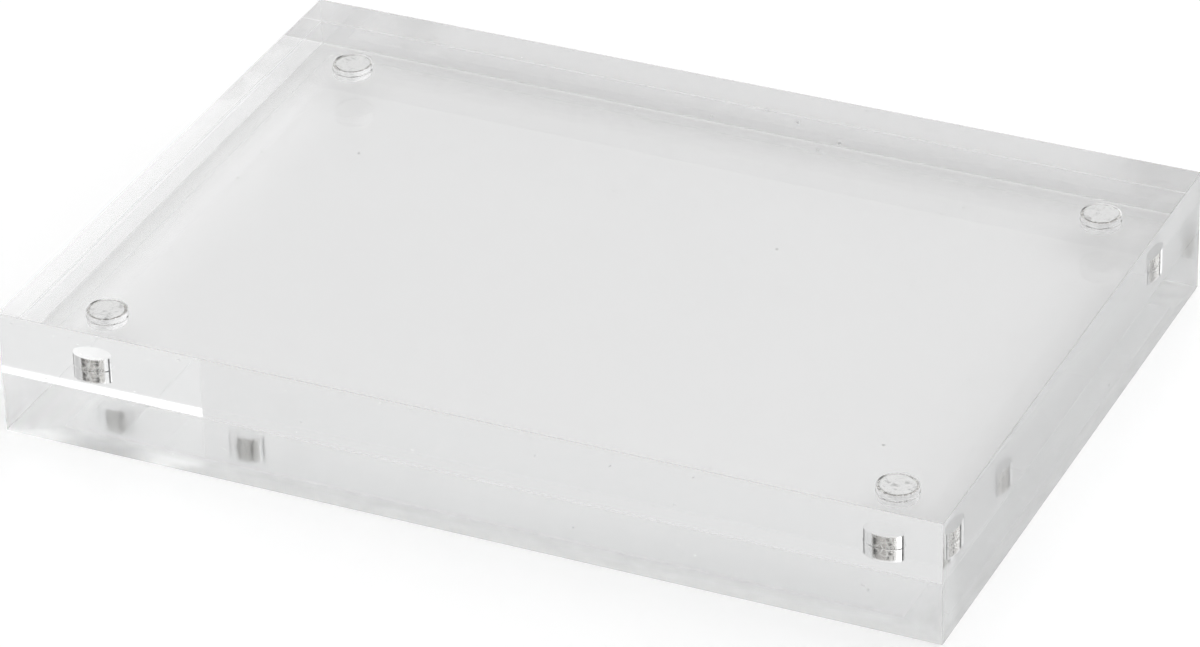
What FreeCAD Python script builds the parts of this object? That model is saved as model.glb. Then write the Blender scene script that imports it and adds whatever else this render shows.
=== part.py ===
import FreeCAD, Part
import os

# Clear acrylic block frame for an A6 print, lying flat on its back.
# Two polished cast-acrylic slabs are held face to face by four pairs of
# nickel-plated disc magnets, set in blind pockets in the slabs' inner faces.
# Frame: origin at the centre of the base, +X along the long edge,
# +Y along the short edge, away from the near long edge, +Z up through
# the front block. All sizes in millimetres.

# --- driving dimensions -----------------------------------------------------
length = 148.0            # long edge, A6
width = 105.0             # short edge, A6
total_thickness = 20.0    # both slabs with the gap that the magnets leave
gap = 0.06                # the magnets stand a little proud and meet first
arris = 0.03              # hairline bevel on every edge but the inner faces'

magnet_diameter = 6.0     # stock 6 x 2 disc magnet
magnet_thickness = 2.0
magnet_edge_radius = 0.15
inset_x = 11.5            # magnet axis from the short edge, at every corner
inset_y = 12.0            # magnet axis from the long edge

pocket_diameter = 6.20
pocket_mouth_bevel = 0.08
glue_thickness = 0.10     # cured clear adhesive between magnet and pocket floor
glue_diameter = 5.65

# --- derived ----------------------------------------------------------------
slab_thickness = (total_thickness - gap) / 2.0
parting_z = total_thickness / 2.0
magnet_proud = gap / 2.0
pocket_depth = magnet_thickness + glue_thickness - magnet_proud

corners = {
    "near_left": (-1, -1),
    "near_right": (1, -1),
    "far_left": (-1, 1),
    "far_right": (1, 1),
}

V = FreeCAD.Vector


def corner_xy(name):
    sx, sy = corners[name]
    return (sx * (length / 2.0 - inset_x), sy * (width / 2.0 - inset_y))


def slab(z_low, z_high, pockets_up):
    """One acrylic slab: bevelled outer edges and four blind magnet pockets.

    pockets_up is True where the pockets open upwards (back block), and
    False where they open downwards (front block)."""
    body = Part.makeBox(length, width, z_high - z_low, V(-length / 2.0, -width / 2.0, z_low))
    # the inner face keeps sharp edges, so that the parting line closes tight
    inner = z_high if pockets_up else z_low
    outer_edges = [e for e in body.Edges
                   if any(abs(v.Point.z - inner) > 1e-6 for v in e.Vertexes)]
    body = body.makeChamfer(arris, outer_edges)
    for name in corners:
        x, y = corner_xy(name)
        r = pocket_diameter / 2.0
        if pockets_up:
            mouth, floor, out = z_high, z_high - pocket_depth, 1.0
        else:
            mouth, floor, out = z_low, z_low + pocket_depth, -1.0
        # revolved profile of the pocket: bore and a slight bevel at its mouth,
        # running 1 mm past the mouth so that the cut is clean
        pts = [
            V(x, y, floor),
            V(x + r, y, floor),
            V(x + r, y, mouth - out * pocket_mouth_bevel),
            V(x + r + pocket_mouth_bevel, y, mouth),
            V(x + r + pocket_mouth_bevel, y, mouth + out * 1.0),
            V(x, y, mouth + out * 1.0),
        ]
        face = Part.Face(Part.makePolygon(pts + [pts[0]]))
        body = body.cut(face.revolve(V(x, y, 0), V(0, 0, 1), 360.0))
    return body


def magnet(x, y, z_low):
    """Disc magnet with its plated edges rounded."""
    disc = Part.makeCylinder(magnet_diameter / 2.0, magnet_thickness, V(x, y, z_low))
    rims = [e for e in disc.Edges if isinstance(e.Curve, Part.Circle)]
    return disc.makeFillet(magnet_edge_radius, rims)


def glue(x, y, z_low):
    """Thin cured disc of clear adhesive on a pocket floor."""
    return Part.makeCylinder(glue_diameter / 2.0, glue_thickness, V(x, y, z_low))


shapes = {}
shapes["back_block"] = slab(0.0, slab_thickness, True)
shapes["front_block"] = slab(total_thickness - slab_thickness, total_thickness, False)
for name in corners:
    x, y = corner_xy(name)
    shapes["back_magnet_" + name] = magnet(x, y, parting_z - magnet_thickness)
    shapes["front_magnet_" + name] = magnet(x, y, parting_z)
    shapes["back_glue_" + name] = glue(x, y, parting_z - magnet_thickness - glue_thickness)
    shapes["front_glue_" + name] = glue(x, y, parting_z + magnet_thickness)

os.makedirs("parts", exist_ok=True)
for node, shape in shapes.items():
    if shape.ShapeType != "Solid":
        shape = shape.Solids[0] if len(shape.Solids) == 1 else shape
    assert shape.isValid() and shape.isClosed() and len(shape.Solids) == 1, node
    shape.exportStep("parts/" + node + ".step")
    print("%-26s volume %10.2f mm3  z %.2f to %.2f" % (
        node, shape.Volume, shape.BoundBox.ZMin, shape.BoundBox.ZMax))
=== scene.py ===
import math
import random

import bmesh
import bpy
from mathutils import Matrix, Vector

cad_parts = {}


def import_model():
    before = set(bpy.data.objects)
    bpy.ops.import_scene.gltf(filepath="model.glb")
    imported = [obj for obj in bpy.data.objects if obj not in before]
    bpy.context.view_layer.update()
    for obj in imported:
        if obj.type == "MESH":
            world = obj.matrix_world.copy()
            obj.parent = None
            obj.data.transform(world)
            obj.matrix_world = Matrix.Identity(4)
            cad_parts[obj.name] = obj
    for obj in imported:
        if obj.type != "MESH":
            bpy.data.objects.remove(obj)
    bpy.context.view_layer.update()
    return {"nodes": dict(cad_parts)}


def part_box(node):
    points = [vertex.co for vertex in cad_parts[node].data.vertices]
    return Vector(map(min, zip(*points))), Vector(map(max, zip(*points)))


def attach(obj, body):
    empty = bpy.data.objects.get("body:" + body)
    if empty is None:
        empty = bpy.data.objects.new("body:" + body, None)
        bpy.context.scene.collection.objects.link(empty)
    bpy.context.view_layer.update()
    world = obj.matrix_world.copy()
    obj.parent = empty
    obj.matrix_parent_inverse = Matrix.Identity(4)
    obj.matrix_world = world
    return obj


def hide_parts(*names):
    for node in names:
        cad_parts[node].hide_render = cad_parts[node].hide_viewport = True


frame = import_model()
nodes = frame["nodes"]
scene = bpy.context.scene

# --- numbers that set the look -----------------------------------------------
FLOOR_ALBEDO = 0.88
FLOOR_LIFT = 0.18            # the backdrop is a clean white where it is seen directly
FLOOR_Z = -0.0002            # a hair below the base, so a film of air stays there
ACRYLIC_IOR = 1.491
ABSORB_DENSITY = 4.2         # per metre
FACE_ROUGH = 0.0
EDGE_ROUGH = 0.045
BASE_ROUGH = 0.04            # the back face is a little scuffed from the table
WORLD_BASE = 0.50            # soft surround
EXPOSURE = 0.0


# --- small helpers for the node trees ----------------------------------------
class Tree:
    """Thin wrapper that makes node code short to read."""

    def __init__(self, tree):
        self.t = tree
        self.n = tree.nodes
        self.n.clear()

    def add(self, kind, **props):
        node = self.n.new(kind)
        ins = props.pop("ins", {})
        for k, v in props.items():
            setattr(node, k, v)
        for k, v in ins.items():
            self.put(node, k, v)
        return node

    def put(self, node, key, value):
        if isinstance(value, bpy.types.NodeSocket):
            self.t.links.new(value, node.inputs[key])
        elif isinstance(value, bpy.types.Node):
            self.t.links.new(value.outputs[0], node.inputs[key])
        else:
            node.inputs[key].default_value = value

    def math(self, op, a, b=0.0, c=0.0, clamp=False):
        node = self.add("ShaderNodeMath", operation=op, use_clamp=clamp)
        for i, v in enumerate((a, b, c)):
            self.put(node, i, v)
        return node.outputs[0]

    def ramp(self, fac, stops, mode="LINEAR"):
        node = self.add("ShaderNodeValToRGB", ins={"Fac": fac})
        node.color_ramp.interpolation = mode
        els = node.color_ramp.elements
        while len(els) < len(stops):
            els.new(0.5)
        for e, (p, c) in zip(els, stops):
            e.position = p
            e.color = c if isinstance(c, tuple) else (c, c, c, 1.0)
        return node.outputs[0]

    def noise(self, vec, scale, detail=2.0, rough=0.5, distort=0.0):
        node = self.add("ShaderNodeTexNoise", noise_dimensions="3D",
                        ins={"Vector": vec, "Scale": scale, "Detail": detail,
                             "Roughness": rough, "Distortion": distort})
        return node.outputs[0]

    def mapping(self, vec, scale=(1, 1, 1), rot=(0, 0, 0), loc=(0, 0, 0)):
        node = self.add("ShaderNodeMapping", ins={"Vector": vec, "Scale": scale,
                                                   "Rotation": rot, "Location": loc})
        return node.outputs[0]


def material(name):
    m = bpy.data.materials.new(name)
    m.use_nodes = True
    return m, Tree(m.node_tree)


# --- acrylic -----------------------------------------------------------------
POCKET_R = 0.00318
MAGNET_XY = (0.0625, 0.0405)


def acrylic():
    m, t = material("clear_cast_acrylic")
    tc = t.add("ShaderNodeTexCoord")
    coord, normal = tc.outputs["Object"], tc.outputs["Normal"]
    p = t.add("ShaderNodeSeparateXYZ", ins={0: coord})
    n = t.add("ShaderNodeSeparateXYZ", ins={0: normal})
    px, py = p.outputs[0], p.outputs[1]
    nx, ny, nz = (t.math("ABSOLUTE", n.outputs[i]) for i in range(3))

    # saw-cut and polished edges are a little less perfect than the cast faces,
    # and the hairline arris along them is barely polished at all
    edge = t.math("GREATER_THAN", t.math("MAXIMUM", nx, ny), 0.9)
    flat = t.math("GREATER_THAN", t.math("MAXIMUM", t.math("MAXIMUM", nx, ny), nz), 0.95)
    arris = t.math("SUBTRACT", 1.0, flat)

    # blind pockets: milled, so frosted on the floor and finely ringed on the wall
    dx = t.math("SUBTRACT", t.math("ABSOLUTE", px), MAGNET_XY[0])
    dy = t.math("SUBTRACT", t.math("ABSOLUTE", py), MAGNET_XY[1])
    rad = t.math("SQRT", t.math("ADD", t.math("MULTIPLY", dx, dx), t.math("MULTIPLY", dy, dy)))
    depth = t.math("ABSOLUTE", t.math("SUBTRACT", p.outputs[2], 0.010))
    inside = t.math("LESS_THAN", depth, 0.0023)
    pocket = t.math("MULTIPLY", t.math("LESS_THAN", rad, POCKET_R + 0.00012), inside)
    pocket_floor = t.math("MULTIPLY", t.math("LESS_THAN", rad, POCKET_R - 0.0001), pocket)
    pocket_wall = t.math("SUBTRACT", pocket, pocket_floor)
    clear = t.math("SUBTRACT", 1.0, pocket)

    # faint handling marks: hairline scratches and a few dust specks
    scr = t.mapping(coord, scale=(42, 1270, 42), rot=(0.0, 0.0, 0.6))
    hair = t.ramp(t.noise(scr, 1.0, 3.0, 0.6), [(0.66, 0.0), (0.70, 1.0)])
    patch = t.ramp(t.noise(coord, 25.0, 1.0), [(0.52, 0.0), (0.62, 1.0)])
    scratch = t.math("MULTIPLY", hair, patch)
    # (the specks are laid out in the plane, shifted from face to face)
    lie = t.add("ShaderNodeCombineXYZ", ins={
        0: t.math("ADD", px, t.math("MULTIPLY", p.outputs[2], 37.0)),
        1: t.math("ADD", py, t.math("MULTIPLY", p.outputs[2], 53.0)), 2: 0.0})
    bent = t.noise(coord, 900.0, 2.0, 0.7)
    specks = t.add("ShaderNodeTexVoronoi", feature="F1", voronoi_dimensions="2D",
                   ins={"Vector": lie, "Scale": 85.0, "Randomness": 1.0})
    pick = t.add("ShaderNodeSeparateColor", ins={"Color": specks.outputs["Color"]})
    size = t.math("MULTIPLY", t.math("ADD", pick.outputs[1], 0.25), t.math("MULTIPLY", bent, 0.034))
    dust = t.math("MULTIPLY", t.math("LESS_THAN", specks.outputs["Distance"], size),
                  t.math("GREATER_THAN", pick.outputs[0], 0.80))

    milled = t.noise(coord, 2000.0, 2.0, 0.6)
    rough = t.math("MULTIPLY", edge, EDGE_ROUGH)
    rough = t.math("ADD", rough, FACE_ROUGH)
    scuffs = t.math("MULTIPLY", t.math("LESS_THAN", p.outputs[2], 0.00001), nz)
    scuffs = t.math("MULTIPLY", scuffs, t.math("ADD", t.noise(coord, 160.0, 3.0, 0.6), 0.5))
    rough = t.math("ADD", rough, t.math("MULTIPLY", scuffs, BASE_ROUGH))
    rough = t.math("ADD", rough, t.math("MULTIPLY", arris, 0.80))
    rough = t.math("ADD", rough, t.math("MULTIPLY", scratch, 0.02))
    rough = t.math("ADD", rough, t.math("MULTIPLY", dust, 0.5))
    rough = t.math("MULTIPLY", rough, clear)
    rough = t.math("ADD", rough, t.math("MULTIPLY", pocket_floor, t.math("ADD", t.math("MULTIPLY", milled, 0.24), 0.08)))
    rough = t.math("ADD", rough, t.math("MULTIPLY", pocket_wall, t.math("ADD", t.math("MULTIPLY", milled, 0.25), 0.02)), clamp=True)

    tint = t.add("ShaderNodeMix", data_type="RGBA", ins={"Factor": dust})
    tint.inputs["A"].default_value = (0.99, 0.99, 0.99, 1.0)
    tint.inputs["B"].default_value = (0.55, 0.55, 0.55, 1.0)

    bsdf = t.add("ShaderNodeBsdfPrincipled")
    bsdf.inputs["Transmission Weight"].default_value = 1.0
    bsdf.inputs["IOR"].default_value = ACRYLIC_IOR
    t.put(bsdf, "Roughness", rough)
    t.put(bsdf, "Base Color", tint.outputs["Result"])
    vol = t.add("ShaderNodeVolumeAbsorption")
    vol.inputs["Color"].default_value = (0.80, 0.81, 0.81, 1.0)
    vol.inputs["Density"].default_value = ABSORB_DENSITY
    # the base is worn to a haze along its rim, where the block is set down
    rim = t.math("MAXIMUM", t.math("SUBTRACT", t.math("ABSOLUTE", px), 0.074),
                 t.math("SUBTRACT", t.math("ABSOLUTE", py), 0.0525))
    worn = t.ramp(t.math("ADD", t.math("DIVIDE", rim, 0.009), 1.0), [(0.0, 0.0), (0.45, 0.14), (1.0, 0.42)])
    worn = t.math("MULTIPLY", worn, t.math("LESS_THAN", p.outputs[2], 0.00001))
    haze = t.add("ShaderNodeBsdfDiffuse")
    haze.inputs["Color"].default_value = (0.92, 0.92, 0.92, 1.0)
    surface = t.add("ShaderNodeMixShader", ins={0: worn, 1: bsdf, 2: haze})
    out = t.add("ShaderNodeOutputMaterial")
    t.put(out, "Surface", surface)
    t.put(out, "Volume", vol)
    return m


# --- nickel plating, with smears of adhesive dried on it -----------------------
def nickel():
    m, t = material("nickel_plating")
    coord = t.add("ShaderNodeTexCoord").outputs["Object"]
    fine = t.noise(coord, 3600.0, 3.0, 0.6)
    cloud = t.noise(coord, 590.0, 2.0, 0.5)
    tumble = t.noise(t.mapping(coord, scale=(1000, 4200, 1000), rot=(0.3, 0.2, 0.9)), 1.0, 2.0)
    # dried adhesive: pale rims round clear cells
    cells = t.add("ShaderNodeTexVoronoi", feature="DISTANCE_TO_EDGE",
                  ins={"Vector": coord, "Scale": 1070.0, "Randomness": 1.0}).outputs["Distance"]
    rim = t.ramp(cells, [(0.03, 1.0), (0.16, 0.0)])
    where = t.ramp(t.noise(coord, 420.0, 2.0, 0.6), [(0.40, 0.0), (0.52, 1.0)])
    smear = t.math("MULTIPLY", rim, where)
    base = t.ramp(cloud, [(0.30, (0.42, 0.405, 0.385, 1)), (0.70, (0.66, 0.645, 0.62, 1))])
    col = t.add("ShaderNodeMix", data_type="RGBA", ins={"Factor": smear, "A": base})
    col.inputs["B"].default_value = (0.92, 0.92, 0.90, 1.0)
    rough = t.math("ADD", t.math("MULTIPLY", fine, 0.12), t.math("MULTIPLY", cloud, 0.14))
    rough = t.math("ADD", rough, t.math("MULTIPLY", smear, 0.45))
    rough = t.math("ADD", rough, 0.04)
    bump = t.add("ShaderNodeBump")
    bump.inputs["Strength"].default_value = 0.55
    bump.inputs["Distance"].default_value = 0.00009
    height = t.math("ADD", fine, t.math("MULTIPLY", tumble, 0.6))
    t.put(bump, "Height", t.math("ADD", height, t.math("MULTIPLY", smear, 1.5)))
    bsdf = t.add("ShaderNodeBsdfPrincipled")
    bsdf.inputs["Metallic"].default_value = 1.0
    t.put(bsdf, "Base Color", col.outputs["Result"])
    t.put(bsdf, "Roughness", rough)
    t.put(bsdf, "Normal", bump.outputs[0])
    out = t.add("ShaderNodeOutputMaterial")
    t.put(out, "Surface", bsdf)
    return m


# --- cured adhesive: gone cloudy, thinner and clearer in places ----------------
def adhesive():
    m, t = material("cured_cloudy_adhesive")
    coord = t.add("ShaderNodeTexCoord").outputs["Object"]
    swirl = t.noise(coord, 730.0, 3.0, 0.6, 1.2)
    smear = t.noise(t.mapping(coord, scale=(420, 1270, 420), rot=(0.0, 0.0, 0.5)), 1.0, 2.0, 0.6)
    thin = t.math("MULTIPLY", swirl, t.math("ADD", smear, 0.5))
    col = t.ramp(thin, [(0.22, (0.70, 0.70, 0.695, 1)), (0.42, (0.88, 0.88, 0.875, 1)), (0.56, (0.83, 0.83, 0.825, 1)), (0.70, (0.50, 0.50, 0.495, 1))])
    rough = t.math("ADD", t.math("MULTIPLY", swirl, 0.25), 0.30)
    bsdf = t.add("ShaderNodeBsdfPrincipled")
    bsdf.inputs["IOR"].default_value = 1.47
    t.put(bsdf, "Base Color", col)
    t.put(bsdf, "Roughness", rough)
    out = t.add("ShaderNodeOutputMaterial")
    t.put(out, "Surface", bsdf)
    return m


mats = {"acrylic": acrylic(), "nickel": nickel(), "adhesive": adhesive()}
for name, obj in nodes.items():
    kind = "acrylic" if name.endswith("_block") else "nickel" if "_magnet_" in name else "adhesive"
    for slot in obj.material_slots:
        slot.material = mats[kind]


# --- adhesive: an uneven spot squeezed out under each magnet, thinning at its rim
def adhesive_spot(node, seed):
    low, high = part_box(node)
    cx, cy = (low.x + high.x) / 2, (low.y + high.y) / 2
    r0 = (high.x - low.x) / 2
    rng = random.Random(seed)
    waves = [(k, rng.uniform(0.01, 0.04) / k ** 0.5, rng.uniform(0, 2 * math.pi)) for k in (1, 2, 3, 4, 6, 9)]
    z0, z1 = low.z + 0.000012, high.z - 0.000012
    zm, steps = (z0 + z1) / 2, 72
    # profile from the lower face round the thin rim to the upper face
    rows = [(0.55, z0), (0.90, z0), (0.97, z0 * 0.8 + zm * 0.2), (1.0, zm), (0.97, z1 * 0.8 + zm * 0.2), (0.90, z1), (0.55, z1)]
    bm = bmesh.new()
    rings = []
    for scale, z in rows:
        ring = []
        for i in range(steps):
            a = 2 * math.pi * i / steps
            wave = 0.94 + sum(h * math.sin(k * a + ph) for k, h, ph in waves)
            r = r0 * min(wave, 0.995) * scale
            ring.append(bm.verts.new((cx + r * math.cos(a), cy + r * math.sin(a), z)))
        rings.append(ring)
    for lo_ring, hi_ring in zip(rings, rings[1:]):
        for i in range(steps):
            j = (i + 1) % steps
            bm.faces.new((lo_ring[i], lo_ring[j], hi_ring[j], hi_ring[i]))
    bottom = bm.verts.new((cx, cy, z0))
    top = bm.verts.new((cx, cy, z1))
    for i in range(steps):
        j = (i + 1) % steps
        bm.faces.new((rings[0][j], rings[0][i], bottom))
        bm.faces.new((rings[-1][i], rings[-1][j], top))
    bmesh.ops.recalc_face_normals(bm, faces=bm.faces)
    mesh = bpy.data.meshes.new(node + "_spot")
    bm.to_mesh(mesh)
    bm.free()
    for f in mesh.polygons:
        f.use_smooth = True
    obj = bpy.data.objects.new(node + "_spot", mesh)
    scene.collection.objects.link(obj)
    mesh.materials.append(mats["adhesive"])
    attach(obj, "back_half" if node.startswith("back") else "front_half")
    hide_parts(node)


for i, name in enumerate(sorted(n for n in nodes if "_glue_" in n)):
    adhesive_spot(name, 101 + i)


# --- floor -------------------------------------------------------------------
def floor():
    mesh = bpy.data.meshes.new("floor")
    s = 6.0
    mesh.from_pydata([(-s, -s, FLOOR_Z), (s, -s, FLOOR_Z), (s, s, FLOOR_Z), (-s, s, FLOOR_Z)], [], [(0, 1, 2, 3)])
    obj = bpy.data.objects.new("floor", mesh)
    scene.collection.objects.link(obj)
    m, t = material("white_paper_floor")
    coord = t.add("ShaderNodeTexCoord").outputs["Object"]
    n = t.noise(coord, 40.0, 3.0, 0.6)
    col = t.ramp(n, [(0.3, FLOOR_ALBEDO - 0.004), (0.7, FLOOR_ALBEDO + 0.004)])
    bsdf = t.add("ShaderNodeBsdfPrincipled")
    bsdf.inputs["Roughness"].default_value = 0.30
    bsdf.inputs["Specular IOR Level"].default_value = 0.75
    t.put(bsdf, "Base Color", col)
    lift = t.add("ShaderNodeEmission")
    lift.inputs["Strength"].default_value = FLOOR_LIFT
    direct = t.add("ShaderNodeLightPath").outputs["Is Camera Ray"]
    seen = t.add("ShaderNodeAddShader", ins={0: bsdf, 1: lift})
    mix = t.add("ShaderNodeMixShader", ins={"Fac": direct, 1: bsdf, 2: seen})
    out = t.add("ShaderNodeOutputMaterial")
    t.put(out, "Surface", mix)
    mesh.materials.append(m)
    return obj


floor()


# --- studio light: a soft surround with a few broad lobes ----------------------
# each lobe: azimuth from +Y towards +X and elevation in degrees, tightness, level
LOBES = [
    (41.0, 32.0, 11.0, 0.97),
    (-25.0, 32.0, 9.0, 0.30),
    (-155.0, 32.0, 9.0, 0.16),
    (104.0, 28.0, 4.5, 0.84),
    (0.0, 90.0, 6.0, 0.67),
]


def world(base=WORLD_BASE, lobes=LOBES):
    w = bpy.data.worlds.new("studio")
    scene.world = w
    w.use_nodes = True
    t = Tree(w.node_tree)
    coord = t.add("ShaderNodeTexCoord").outputs["Generated"]
    unit = t.add("ShaderNodeVectorMath", operation="NORMALIZE", ins={0: coord}).outputs[0]
    level = base
    for az, el, tight, amount in lobes:
        a, e = math.radians(az), math.radians(el)
        k = (math.sin(a) * math.cos(e), math.cos(a) * math.cos(e), math.sin(e))
        dot = t.add("ShaderNodeVectorMath", operation="DOT_PRODUCT", ins={0: unit, 1: k}).outputs["Value"]
        bell = t.math("EXPONENT", t.math("MULTIPLY", t.math("SUBTRACT", dot, 1.0), tight))
        level = t.math("ADD", t.math("MULTIPLY", bell, amount), level)
    level = t.math("MAXIMUM", level, 0.0)
    bg = t.add("ShaderNodeBackground", ins={"Strength": level})
    bg.inputs["Color"].default_value = (1.0, 1.0, 1.0, 1.0)
    out = t.add("ShaderNodeOutputWorld")
    t.put(out, "Surface", bg)


world()


# --- camera: long lens, from the near left corner's side ----------------------
def camera():
    az, el, roll = (math.radians(a) for a in (25.166, 31.008, -1.518))
    focal_px = 6066.07
    u0, v0 = 600.0, 323.5
    place = Vector((0.32817, -0.70213, 0.47178))
    back = Vector((math.sin(az) * math.cos(el), -math.cos(az) * math.cos(el), math.sin(el)))
    right = (-back).cross(Vector((0, 0, 1))).normalized()
    up = right.cross(-back).normalized()
    r2 = right * math.cos(roll) + up * math.sin(roll)
    u2 = -right * math.sin(roll) + up * math.cos(roll)
    cam = bpy.data.cameras.new("camera")
    cam.sensor_fit = "HORIZONTAL"
    cam.sensor_width = 36.0
    cam.lens = focal_px / 1200.0 * 36.0
    cam.shift_x = (600.0 - u0) / 1200.0
    cam.shift_y = (v0 - 323.5) / 1200.0
    cam.clip_start = 0.05
    cam.clip_end = 60.0
    obj = bpy.data.objects.new("camera", cam)
    obj.matrix_world = Matrix((
        (r2.x, u2.x, back.x, place.x),
        (r2.y, u2.y, back.y, place.y),
        (r2.z, u2.z, back.z, place.z),
        (0, 0, 0, 1)))
    scene.collection.objects.link(obj)
    scene.camera = obj


camera()

# --- light paths and tone ------------------------------------------------------
cy = scene.cycles
cy.max_bounces = 24
cy.diffuse_bounces = 4
cy.glossy_bounces = 20
cy.transmission_bounces = 24
cy.transparent_max_bounces = 16
cy.volume_bounces = 0
cy.caustics_reflective = True
cy.caustics_refractive = True
cy.blur_glossy = 0.0
cy.sample_clamp_indirect = 6.0
scene.view_settings.view_transform = "Standard"
scene.view_settings.look = "None"
scene.view_settings.exposure = EXPOSURE
scene.view_settings.gamma = 1.0

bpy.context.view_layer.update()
